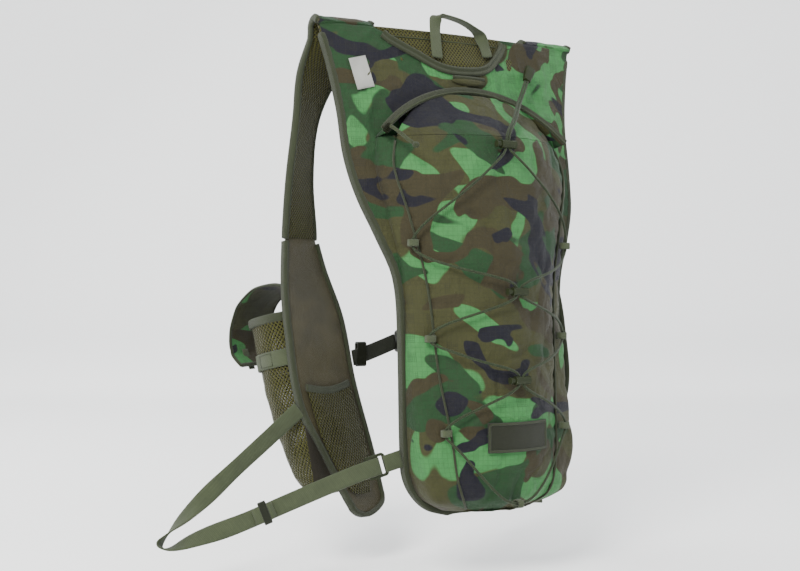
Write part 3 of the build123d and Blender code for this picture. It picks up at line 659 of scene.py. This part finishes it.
def nurbs(name, points, radius, material, body="pack"):
    """Smooth cord whose control points are the route."""
    data = bpy.data.curves.new(name, "CURVE")
    data.dimensions = "3D"
    data.bevel_depth = radius * MM
    data.bevel_resolution = 4
    spline = data.splines.new("NURBS")
    spline.points.add(len(points) - 1)
    for point, p in zip(spline.points, points):
        point.co = (*(Vector(p) * MM), 1)
    spline.use_endpoint_u = True
    spline.order_u = 3
    spline.resolution_u = 8
    data.materials.append(material)
    piece = bpy.data.objects.new(name, data)
    bpy.context.scene.collection.objects.link(piece)
    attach(piece, body)
    return piece


PULL_FROM = arch(47, 172, 9)
PULL_TO = PULL_FROM + Vector((13, -34, -24))
pull = nurbs("main_zip_braid", [PULL_FROM, PULL_FROM.lerp(PULL_TO, 0.3) + Vector((0.6, 0, 0.8)),
                                PULL_FROM.lerp(PULL_TO, 0.7) - Vector((0.6, 0, 0.6)), PULL_TO], 2.1,
                                PULL_CORD,
             "zip_pull")
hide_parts("main_zip_pull")


def ball(name, centre, size, material, body):
    bpy.ops.mesh.primitive_uv_sphere_add(segments=24, ring_count=14, location=Vector(centre) * MM)
    piece = bpy.context.object
    piece.name = name
    piece.scale = Vector(size) * MM
    piece.data.materials.append(material)
    for face in piece.data.polygons:
        face.use_smooth = True
    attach(piece, body)
    return piece


knot = ball("main_zip_knot", PULL_TO, (3.8, 4.2, 3.6), PULL_CORD, "zip_pull")

# Bungee lacing -------------------------------------------------------------------------------------------
LACING = [
    (-0.4, -74, -247), (-15, -74, -245), (-32, -73, -231), (-48, -69, -213), (-62, -63, -195),
    (-75, -56, -179),
    (-84, -50, -170), (-84, -50, -160), (-72, -57, -149), (-54, -67, -139), (-35, -74, -130),
    (-16, -78, -122),
    (-1.7, -78, -113), (-1.7, -78, -101), (-14, -78, -94), (-33, -74, -89), (-53, -65, -83), (-70, -54, -76),
    (-84, -41, -70), (-94, -32, -64), (-94, -32, -55), (-84, -41, -46), (-68, -54, -38), (-49, -65, -31),
    (-29, -72, -24), (-13, -75, -18), (-1.7, -73, -12), (-1.7, -73, -2), (-13, -75, 5), (-31, -71, 10),
    (-52, -63, 15), (-72, -50, 21), (-90, -35, 28), (-104, -22, 37), (-109, -19, 45), (-108, -20, 54),
    (-101, -28, 67), (-88, -38, 81), (-73, -47, 94), (-57, -53, 108), (-40, -56, 122), (-23, -57, 137),
    (-9, -55, 149), (-1.7, -51, 157), (-1.7, -51, 167),
]
TAIL = [(6, -46, 179), (20, -35, 190), (34, -20, 202), (48, -4, 213), (62, 11, 226), (74, 20, 240),
    (84, 28, 253)]
for side, label in ((-1, "left"), (1, "right")):
    route = [(-side * x, y, z) for x, y, z in LACING] + [(x + side * 2.0, y, z) for x, y, z in TAIL]
    lace = nurbs(f"elastic_cord_{label}", route, 1.5, CORD)
    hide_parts(f"bungee_cord_{label}")

LOOPS = [(100, -19, 48), (85, -32, -60), (75, -50, -165)]


def stadium(reach, height, steps=28):
    return [(reach / 2 * math.copysign(abs(math.cos(t)) ** 0.6, math.cos(t)),
             height / 2 * math.copysign(abs(math.sin(t)) ** 0.6, math.sin(t)))
            for t in (2 * math.pi * k / steps for k in range(steps))]


ring = stadium(11.8, 8.2)
for side in (-1, 1):
    for number, (x, y, z) in enumerate(LOOPS):
        at_x = side * (x + 7.1)
        line = [Vector((at_x + a, y + b, z)) for a, b in ring]
        sweep(f"cord_loop_{'left' if side < 0 else 'right'}_{number}", line,
                                 [Vector((0, 0, 1))] * len(line), band(8, 1.2), [WEB], closed=True)
line = [Vector((0, -72.1 + a, -247 + b)) for a, b in ring]
sweep("cord_loop_bottom", line, [Vector((1, 0, 0))] * len(line), band(8, 1.2), [WEB],
    closed=True)
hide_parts("bungee_loops")

# Trim on the yoke ----------------------------------------------------------------------------------------
HANDLE_LEAN = math.radians(16.3)
HANDLE_AT = Vector((0, 39.4, 272))
HANDLE_OUT = Vector((0, -math.cos(HANDLE_LEAN), math.sin(HANDLE_LEAN)))
HANDLE_UP = Vector((0, math.sin(HANDLE_LEAN), math.cos(HANDLE_LEAN)))
grip_points, grip_wides = [], []
for x, v, o, w in (
    (-39, 0, 0.9, (1, 0, 0)), (-37.5, 20, 0.9, (1, 0, 0.02)), (-35.6, 42, 1.2, (1, 0, 0.1)),
    (-32, 54, 3.4, (0.75, -0.6, 0.2)), (-22, 55, 5, (0.1, -1, 0)), (0, 50, 6, (0, -1, 0)),
    (17, 43, 4.5, (0.1, -1, 0)), (27, 36, 2.5, (0.6, -0.7, 0)), (32, 24, 1.1, (1, -0.1, 0)),
    (35, 8, 0.9, (1, 0, 0)),
):
    grip_points.append(HANDLE_AT + Vector((x, 0, 0)) + HANDLE_UP * v + HANDLE_OUT * o)
    grip_wides.append(Vector(w))
grip = sweep("grab_handle_webbing", smooth_path(grip_points, 6), smooth_path(grip_wides, 6),
    band(15.5, 2.0, 0.2), [WEB],
             body="handle", subsurf=1)
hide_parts("grab_handle")

hood_rows = []
for i in range(9):
    turn = math.pi * i / 8 * 0.5
    row = []
    for j in range(33):
        t = 2 * math.pi * j / 32
        x, z = 2 + 24 * math.cos(t) * math.cos(turn), 246 + 5.5 * math.sin(t) * math.cos(turn)
        row.append(Vector((x, back_y(x, z) + SHELL - 1 - 5.0 * math.sin(turn), z)))
    hood_rows.append(row)
hood = grid("hose_port_hood", hood_rows, [CAMO], solid=0.8, subsurf=1)
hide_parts("hose_port")
lip = [
    Vector((x, back_y(x, 251) + SHELL - 3.0 - 2.6 * math.cos((x - 2) / 24 * 1.5), 250.5))
    for x in range(-21, 26, 3)
]
sweep("hose_port_lip", lip, [Vector((0, 0, 1))] * len(lip),
      oval(2.0, 1.3, 8), [BINDING])


def patch_on(name, corner_rows, y_of, material, lift, node, thick=0.8):
    """Flat patch laid on a surface between four corners: lower left, lower right, upper left, upper right."""
    (ax, az), (bx, bz), (cx, cz), (dx, dz) = corner_rows
    rows = []
    for i in range(13):
        row = []
        for j in range(25):
            s, t = j / 24, i / 12
            x = (ax * (1 - s) + bx * s) * (1 - t) + (cx * (1 - s) + dx * s) * t
            z = (az * (1 - s) + bz * s) * (1 - t) + (cz * (1 - s) + dz * s) * t
            row.append(Vector((x, y_of(x, z) - lift, z)))
        rows.append(row)
    piece = grid(name, rows, [material], solid=thick)
    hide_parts(node)
    return piece


patch_on("shoulder_label_cloth", ((-142, 227), (-122, 232), (-150, 264), (-130, 269)),
         lambda x, z: back_y(x, z) + SHELL, LABEL, 2.4, "shoulder_label")


def pouch_y(x, z):
    p, normal = front_point(POUCH, max(-1, min(1, x / at(column(POUCH, 2), z))), z)
    return p.y


patch_on("front_patch_cloth", ((-39, -188), (43, -188), (-39, -154), (43, -154)), pouch_y, PATCH, 3.6,
    "front_patch")
stitch = [Vector((x, pouch_y(x, z) - 4.3, z)) for x, z in
          [(x, -186) for x in range(-37, 42, 4)] + [(41, z) for z in range(-184, -157, 4)]
          + [(x, -156) for x in range(41, -38, -4)] + [(-37, z) for z in range(-158, -185, -4)]]
sweep("front_patch_border", stitch, [Vector((0, -1, 0))] * len(stitch),
      oval(0.7, 1.6, 6), [BINDING], closed=True)

# Front panels --------------------------------------------------------------------------------------------
TURN, TILT = math.radians(27), math.radians(12)
PANEL_AT = Vector((-205, 102, -60))
ALONG = Vector((math.cos(TURN), math.sin(TURN), 0))
AWAY = Vector((-math.sin(TURN), math.cos(TURN), 0))
UP = Vector((0, 0, 1)) * math.cos(TILT) + AWAY * math.sin(TILT)
OUT = UP.cross(ALONG)


def on_panel(s, out, q, side):
    p = PANEL_AT + ALONG * s + OUT * out + UP * q
    return p if side < 0 else Vector((-p.x, p.y, p.z))


def turned(v, side):
    return Vector(v) if side < 0 else Vector((-v[0], v[1], v[2]))


LEFT_EDGE = [(-222, 86), (-214, 74), (-196, 62), (-143, 34), (-80, 4), (8, 5), (60, 12), (124, 30)]
RIGHT_EDGE = [(-222, 100), (-218, 118), (-212, 132), (-205, 133), (-150, 127), (-60, 113), (20, 110),
    (80, 92),
              (124, 84)]
STRAP = [
    (56, (-190, 137.5), (-141.5, 163)), (66, (-192, 133), (-144, 158)), (130, (-198, 107), (-155, 143)),
    (200, (-191, 103), (-150, 138)),
    (250, (-189, 99), (-134, 122)), (290, (-182, 88), (-112, 88)),
]
OVER = [(94, 299), (93, 307), (87, 313.5), (79, 316), (71, 313), (65, 308)]
POCKET = [(-190, 30), (-168, 54), (-120, 68), (-60, 78), (28, 84)]
SPAN = (9.0, 97.0)


def pocket_arc(q, grow=0.0, count=28):
    """Places round the bulge of the bottle pocket at a height, with outward directions."""
    bulge = at(POCKET, q) + grow
    a, b, base = SPAN[0] - grow, SPAN[1] + grow, 5.3
    half, rise = (b - a) / 2, bulge - base
    radius = (half**2 + rise**2) / (2 * rise)
    reach = math.acos(max(-1, min(1, (radius - rise) / radius)))
    made = []
    for k in range(count + 1):
        t = -reach + 2 * reach * k / count
        made.append(((a + b) / 2 + radius * math.sin(t), base + rise - radius + radius * math.cos(t),
                     math.sin(t), math.cos(t)))
    return made


def pad_loop(a, b, face, thick, crown, count=10, swell=None):
    """Closed section between edge points a and b: face side first, then the wearer's side."""
    loop = []
    for k in range(count + 1):
        t = k / count
        p = a.lerp(b, t) + face * (thick + crown * math.sin(math.pi * t) ** 0.7)
        loop.append(p + face * (swell(p, t) if swell else 0))
    loop.append(b + face * thick * 0.5 + (b - a).normalized() * 1.0)
    for k in range(count, -1, -1):
        t = k / count
        loop.append(a.lerp(b, t) - face * 0.3 * math.sin(math.pi * t))
    loop.append(a + face * thick * 0.5 - (b - a).normalized() * 1.0)
    return loop


def fold_line(p, t):
    return math.sin(math.pi * t) * (1.2 * rumple(p, 40, 3) - 1.8 * max(0, crease(p, 36, 7)) ** 4)


for side, label in ((-1, "left"), (1, "right")):
    # Padded panel, cloth outside and coated lining towards the wearer
    sections = []
    for i in range(121):
        q = -221.5 + (124 + 221.5) * i / 120
        a = on_panel(at(LEFT_EDGE, q) + 1, 0.4, q, side)
        b = on_panel(at(RIGHT_EDGE, q) - 1, 0.4, q, side)
        sections.append(pad_loop(a, b, turned(OUT, side), 4.4, 1.4, 16, fold_line))
    panel = skin(f"front_panel_cloth_{label}", sections, [CAMO, LINING], split=17)
    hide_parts(f"front_panel_{label}")
    edge = [(at(LEFT_EDGE, q), q) for q in range(116, -212, -5)]
    edge += [(72, -213), (80, -219), (92, -223), (104, -222.5), (118, -219), (130, -213)]
    edge += [(at(RIGHT_EDGE, q), q) for q in range(-206, 116, 5)]
    tape_at = smooth_path([on_panel(s, 2.4, q, side) for s, q in edge], 3)
    tape = sweep(f"panel_tape_{label}", tape_at, [turned(OUT, side)] * len(tape_at),
                 [(-4.2, -3.4), (-4.6, 0), (-3.4, 2.6), (0, 3.4), (3.4, 2.6), (4.6, 0), (4.2, -3.4)],
                 [BINDING])
    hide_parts(f"panel_binding_{label}")

    # Shoulder strap
    sections = []
    for i in range(71):
        z = 57 + (290 - 57) * i / 70
        a = Vector((at([(s[0], s[1][0]) for s in STRAP], z), at([(s[0], s[1][1]) for s in STRAP], z), z))
        b = Vector((at([(s[0], s[2][0]) for s in STRAP], z), at([(s[0], s[2][1]) for s in STRAP], z), z))
        out = Vector((-(b - a).y, (b - a).x, 0)).normalized()
        if side > 0:
            a, b, out = (Vector((-v.x, v.y, v.z)) for v in (a, b, out))
        sections.append(pad_loop(a, b, out, 7.0, 1.6, 12, fold_line))
    for i, (y, z) in enumerate(smooth_path([(y, z, 0) for y, z in OVER], 3)[k].xy for k in range(16)):
        inward = (Vector((0, 79, 296)) - Vector((0, y, z))).normalized()
        a = Vector((side * 182, y, z)) + inward * 7.0
        b = Vector((side * 112, y, z)) + inward * 7.0
        sections.append(pad_loop(a, b, -inward, 6.4, 1.0, 12, fold_line))
    strap = skin(f"shoulder_strap_cloth_{label}", sections, [CAMO, SPACER], split=13)
    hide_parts(f"shoulder_strap_{label}")
    for which, index in (("outer", 25 + 2), ("inner", 13)):
        rim_line = [Vector(loop[index % len(loop)]) for loop in sections[:-2]]
        sweep(f"strap_tape_{which}_{label}", rim_line,
              [sections[k][6] - sections[k][20] for k in range(len(rim_line))],
              [(-4.4, -2.6), (-4.8, 0), (-3.4, 1.6), (0, 2.0), (3.4, 1.6), (4.8, 0), (4.4, -2.6)], [BINDING])

    # Bottle pocket with its elastic hem, webbing band and stitched boxes
    rows = []
    for i in range(71):
        q = -189 + (28 + 189) * i / 70
        row = []
        for s, out, ds, dout in pocket_arc(q):
            slack = -0.6 + 1.6 * rumple((s, out, q), 34, 2)
            slack -= 0.9 * max(0, crease((s, out, q * 0.6), 26, 6)) ** 3
            gather = 0.8 * math.sin(s / 2.0) * math.exp(-(28 - q) / 10)
            row.append(on_panel(s + ds * (slack + gather), out + dout * (slack + gather), q, side))
        rows.append(row)
    pocket = grid(f"bottle_pocket_mesh_{label}", rows, [MESH], solid=1.1, subsurf=1)
    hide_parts(f"bottle_pocket_{label}")
    liner = [
        [on_panel(s, 5.6, q, side) for s in (9.5, 25, 40, 53, 66, 81, 96.5)] for q in range(-188, 30, 12)
    ]
    grid(f"bottle_pocket_back_{label}", liner, [DARK_CLOTH], solid=0.6)
    foot = []
    for k in range(6):
        foot.append([on_panel(s * (1 - k / 5) + 53 * k / 5, 5.3 + (out - 5.3) * (1 - k / 5), -189, side)
                     for s, out, _, _ in pocket_arc(-189)])
    grid(f"bottle_pocket_foot_{label}", foot, [MESH], solid=1.0)
    hem = [on_panel(s, out, 26.5, side) for s, out, _, _ in pocket_arc(26.5, 0.4)]
    sweep(f"bottle_pocket_hem_{label}", hem, [turned(UP, side)] * len(hem), band(11, 2.4, 0.5), [BINDING])
    belt = [on_panel(s, out, -22, side) for s, out, _, _ in pocket_arc(-22, 1.0, 40)]
    belt_piece = sweep(f"pocket_webbing_{label}", belt, [turned(UP, side)] * len(belt), band(20, 1.6, 0.2),
        [WEB])
    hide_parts(f"pocket_band_{label}")
    for number, first in enumerate((5, 19, 31)):
        box_line = []
        arc = pocket_arc(-22, 2.0, 40)
        for k in range(first, first + 5):
            box_line.append(on_panel(arc[k][0], arc[k][1], -22 + 7.5, side))
        for k in range(first + 4, first - 1, -1):
            box_line.append(on_panel(arc[k][0], arc[k][1], -22 - 7.5, side))
        sweep(f"pocket_stitch_{number}_{label}", box_line, [turned(UP, side)] * len(box_line),
              oval(0.5, 0.5, 6), [THREAD],
              closed=True)

    # Flap over the pocket's mouth, with its hem and pull
    FLAP = [(7.5, 63), (20, 68), (34, 70), (50, 70), (62, 67), (78, 58.5), (88, 49.5), (99, 32), (104.4, 14),
            (104.6, 4), (103.4, -4), (93.6, -17.4)]
    spine = smooth_path([(out, q, 0) for out, q in FLAP], 4)
    rows = []
    for k, p in enumerate(spine):
        row = []
        for j in range(31):
            s = 16 + 74 * j / 30
            free = k / len(spine)
            lift = -1.0 + 0.9 * rumple((s, p.x, p.y), 30, 3) * free - 1.2 * free * (2 * j / 30 - 1) ** 2
            row.append(on_panel(s, p.x + lift * 0.6, p.y + lift, side))
        rows.append(row)
    flap = grid(f"pocket_flap_cloth_{label}", rows, [CAMO], solid=1.8, subsurf=1, body=f"flap_{label}")
    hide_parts(f"pocket_flap_{label}")
    edge_path = [row[0] for row in rows] + rows[-1][1:-1:3] + [row[-1] for row in reversed(rows)]
    flap_hem = sweep(f"pocket_flap_hem_{label}", edge_path, [turned(ALONG + UP * 0.4, side)] * len(edge_path),
                     oval(2.6, 1.5, 8),
                     [BINDING], body=f"flap_{label}")
    tab_line = [on_panel(40, out, q, side) for out, q in ((103, 2), (101, -8), (98, -16), (96, -24))]
    tab_line = smooth_path(tab_line, 4)
    sweep(f"pocket_flap_pull_{label}", tab_line, [turned(ALONG, side)] * len(tab_line), band(11, 1.8, 0.3),
        [WEB],
          body=f"flap_{label}")

    # Zip, inner pocket
    zip_run = [on_panel(104.5, 5.3, q, side) for q in range(-60, 70, 5)]
    sweep(f"panel_zip_cloth_{label}", zip_run, [turned(ALONG, side)] * len(zip_run), band(11, 1.0, 0.8),
        [ZIP_TAPE])
    rows = []
    for i in range(31):
        q = -62 - 136 * i / 30
        row = []
        for j in range(25):
            s0 = at([(-200, 84), (-190, 66), (-128, 30), (-84, 19), (-62, 14)], q)
            s1 = at([(-200, 104), (-160, 115), (-84, 105), (-62, 100)], q)
            s = s0 + (s1 - s0) * j / 24
            puff = -2.4 - 2.4 * math.sin(math.pi * j / 24) * math.sin(math.pi * (i + 4) / 34)
            puff += 0.8 * rumple((s, 0, q), 30)
            row.append(on_panel(s, puff, q - 6 * math.sin(math.pi * j / 24) * (1 - i / 30), side))
        rows.append(row)
    inner = grid(f"inner_pocket_mesh_{label}", rows, [MESH], solid=0.8)
    if side < 0:
        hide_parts("inner_pockets")
    sweep(f"inner_pocket_hem_{label}", rows[0], [turned(UP, side)] * 25, band(9, 1.8, 0.4), [BINDING])

    # Sternum strap, in the dark webbing as painted shade: it is seen from its inner face, in shadow
    start = Vector((-93.5, 153, -91))
    buckle = Vector((-25, 165, -72))
    line = smooth_path([turned(p, side) for p in (start, start.lerp(buckle, 0.3) + Vector((0, 0.6, -1.2)),
                                                  start.lerp(buckle, 0.7) + Vector((0, 0.4, -0.8)), buckle)],
                                                  6)
    sternum = sweep(f"sternum_webbing_{label}", line, [Vector((0, 0, 1))] * len(line), band(20, 1.7, 0.2),
        [WEB_DARK])
    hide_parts(f"sternum_strap_{label}")

# Side straps: tab, strap, keeper and free end ------------------------------------------------------------
LONG_LINE = [
    (-136.3, 4.2, -203.7), (-154.9, 9, -209.3), (-185, 20, -221), (-235, 38, -242), (-285, 52, -262),
    (-330, 66, -277), (-358, 76, -287), (-368, 82, -284), (-358, 85, -273), (-330, 87, -250),
    (-285, 89, -214),
    (-240, 90, -179), (-207, 90.5, -153), (-197, 89.5, -145),
]
SHORT_LINE = [
    (120.3, 20.7, -203), (127.3, 38.7, -208), (131, 54, -221), (133, 65, -243), (133.5, 71, -264),
    (134, 75, -277),
    (135, 79, -281), (136.5, 83, -275), (139, 85, -258), (144, 86, -235), (149, 87, -212), (154, 88, -190),
]
SIDE_STRAPS = [
    ("left", (-113.3, 1, -197), (-0.93, 0.24, -0.28), 1, LONG_LINE,
    [0, 0, 0, 0, 0, 0.5, 1, 1, 1, 0.5, 0, 0, 0, 0],
     (0.5, 0.8, 0), 3, 0.469),
    ("right", (109.5, 0, -197), (0.35, 0.9, -0.25), -1, SHORT_LINE, [0, 0, 0.5] + [1] * 9, (1, 0.1, 0), 3,
    0.200),
]
for label, tab_at, lead, sign, stops, twists, turn_axis, span, length in SIDE_STRAPS:
    tab_at, lead = Vector(tab_at), Vector(lead).normalized()
    across = (Vector((0, 0, 1)) - lead * lead.z).normalized()
    face = across.cross(lead) * sign
    line = [tab_at + lead * s + face * 2.6 for s in range(-2, 22, 3)]
    tab = sweep(f"side_tab_webbing_{label}", line, [across] * len(line), band(20, 1.7), [WEB])
    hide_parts(f"side_tab_{label}")
    ends = [Vector(p) for p in stops]
    wides = []
    for i, twist in enumerate(twists):
        run = (ends[min(i + 1, len(ends) - 1)] - ends[max(i - 1, 0)]).normalized()
        wide = Vector((0, 0, 1)) * (1 - twist) + Vector(turn_axis) * twist
        wides.append((wide - run * wide.dot(run)).normalized())
    strap_line = smooth_path(ends, 8)
    side_strap = sweep(f"side_strap_webbing_{label}", strap_line, smooth_path(wides, 8), band(20, 1.8, 0.1),
        [WEB])
    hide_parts(f"side_strap_{label}")
    middle = (ends[span] + ends[span + 1]) * 0.5
    run = (ends[span + 1] - ends[span]).normalized()
    wide = (wides[span] - run * wides[span].dot(run)).normalized()
    outward = run.cross(wide)
    line = [middle + wide * a + outward * b for a, b in stadium(25.5, 6.2, 36)]
    keeper = sweep(f"strap_keeper_loop_{label}", line, [run] * len(line), band(9, 1.1), [WEB_DARK],
        closed=True)
    tail_line = [
        ends[span].lerp(ends[span + 1], t) - outward * 2.1 * sign for t in (0.30, 0.42, 0.54, 0.66, 0.74)
    ]
    folded = sweep(f"strap_free_end_{label}", tail_line, [wide] * 5, band(19, 1.8, 0.2), [WEB])
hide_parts("strap_keepers")

# Reservoir -----------------------------------------------------------------------------------------------
bag = []
for i in range(41):
    z = -223.5 + 313 * i / 40
    ease = math.sin(math.pi * min(1, (i + 0.6) / 41.2)) ** 0.35
    loop = []
    for a, b in stadium(123 * (0.86 + 0.14 * ease), 2.5 + 14 * ease, 44):
        loop.append(Vector((a, -21.5 + b + 0.4 * rumple((a, b, z), 40), z)))
    bag.append(loop)
bladder = skin("reservoir_film", bag, [FILM], subsurf=1)
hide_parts("reservoir")
hang = [Vector((0, -21, z)) for z in range(92, 132, 5)]
hanger = sweep("reservoir_hanger_webbing", hang, [Vector((1, 0, 0))] * len(hang), band(18, 2), [WEB_DARK])
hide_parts("reservoir_hanger")

# Stage ---------------------------------------------------------------------------------------------------
FLOOR_Z = -0.335
rows = [(-3.0, FLOOR_Z), (1.2, FLOOR_Z), (1.9, FLOOR_Z + 0.12), (2.3, FLOOR_Z + 0.6), (2.4, FLOOR_Z + 3.0)]
floor_verts, floor_faces = [], []
for k, p in enumerate(smooth_path([(0, y, z) for y, z in rows], 8)):
    floor_verts += [(-5, p.y, p.z), (5, p.y, p.z)]
    if k:
        floor_faces.append((2 * k - 2, 2 * k - 1, 2 * k + 1, 2 * k))
floor_mesh = bpy.data.meshes.new("floor")
floor_mesh.from_pydata(floor_verts, [], floor_faces)
for face in floor_mesh.polygons:
    face.use_smooth = True
floor = bpy.data.objects.new("floor", floor_mesh)
g = Graph("floor_paper")
floor_mesh.materials.append(g.done(linear(250, 250, 249, 1.0), 0.9, g.bump(g.noise(30, 3), 0.0004, 0.2)))
bpy.context.scene.collection.objects.link(floor)
floor.rotation_euler.z = math.radians(-30)

world = bpy.data.worlds.new("studio")
world.use_nodes = True
world.node_tree.nodes["Background"].inputs["Color"].default_value = (0.93, 0.96, 1.0, 1)
world.node_tree.nodes["Background"].inputs["Strength"].default_value = 1.5
bpy.context.scene.world = world


def lamp(name, place, size, power, colour=(1, 1, 1)):
    data = bpy.data.lights.new(name, "AREA")
    data.size = size
    data.energy = power
    data.color = colour
    item = bpy.data.objects.new(name, data)
    item.location = place
    item.rotation_euler = (Vector((0, 0.05, 0.0)) - Vector(place)).to_track_quat("-Z", "Y").to_euler()
    bpy.context.scene.collection.objects.link(item)


lamp("key", (-1.7, -1.2, 1.5), 0.9, 100, (1.0, 0.98, 0.95))
lamp("fill", (1.5, -1.1, 0.5), 1.8, 9, (0.95, 0.97, 1.0))
lamp("rim", (-0.6, 1.6, 1.3), 1.2, 26)
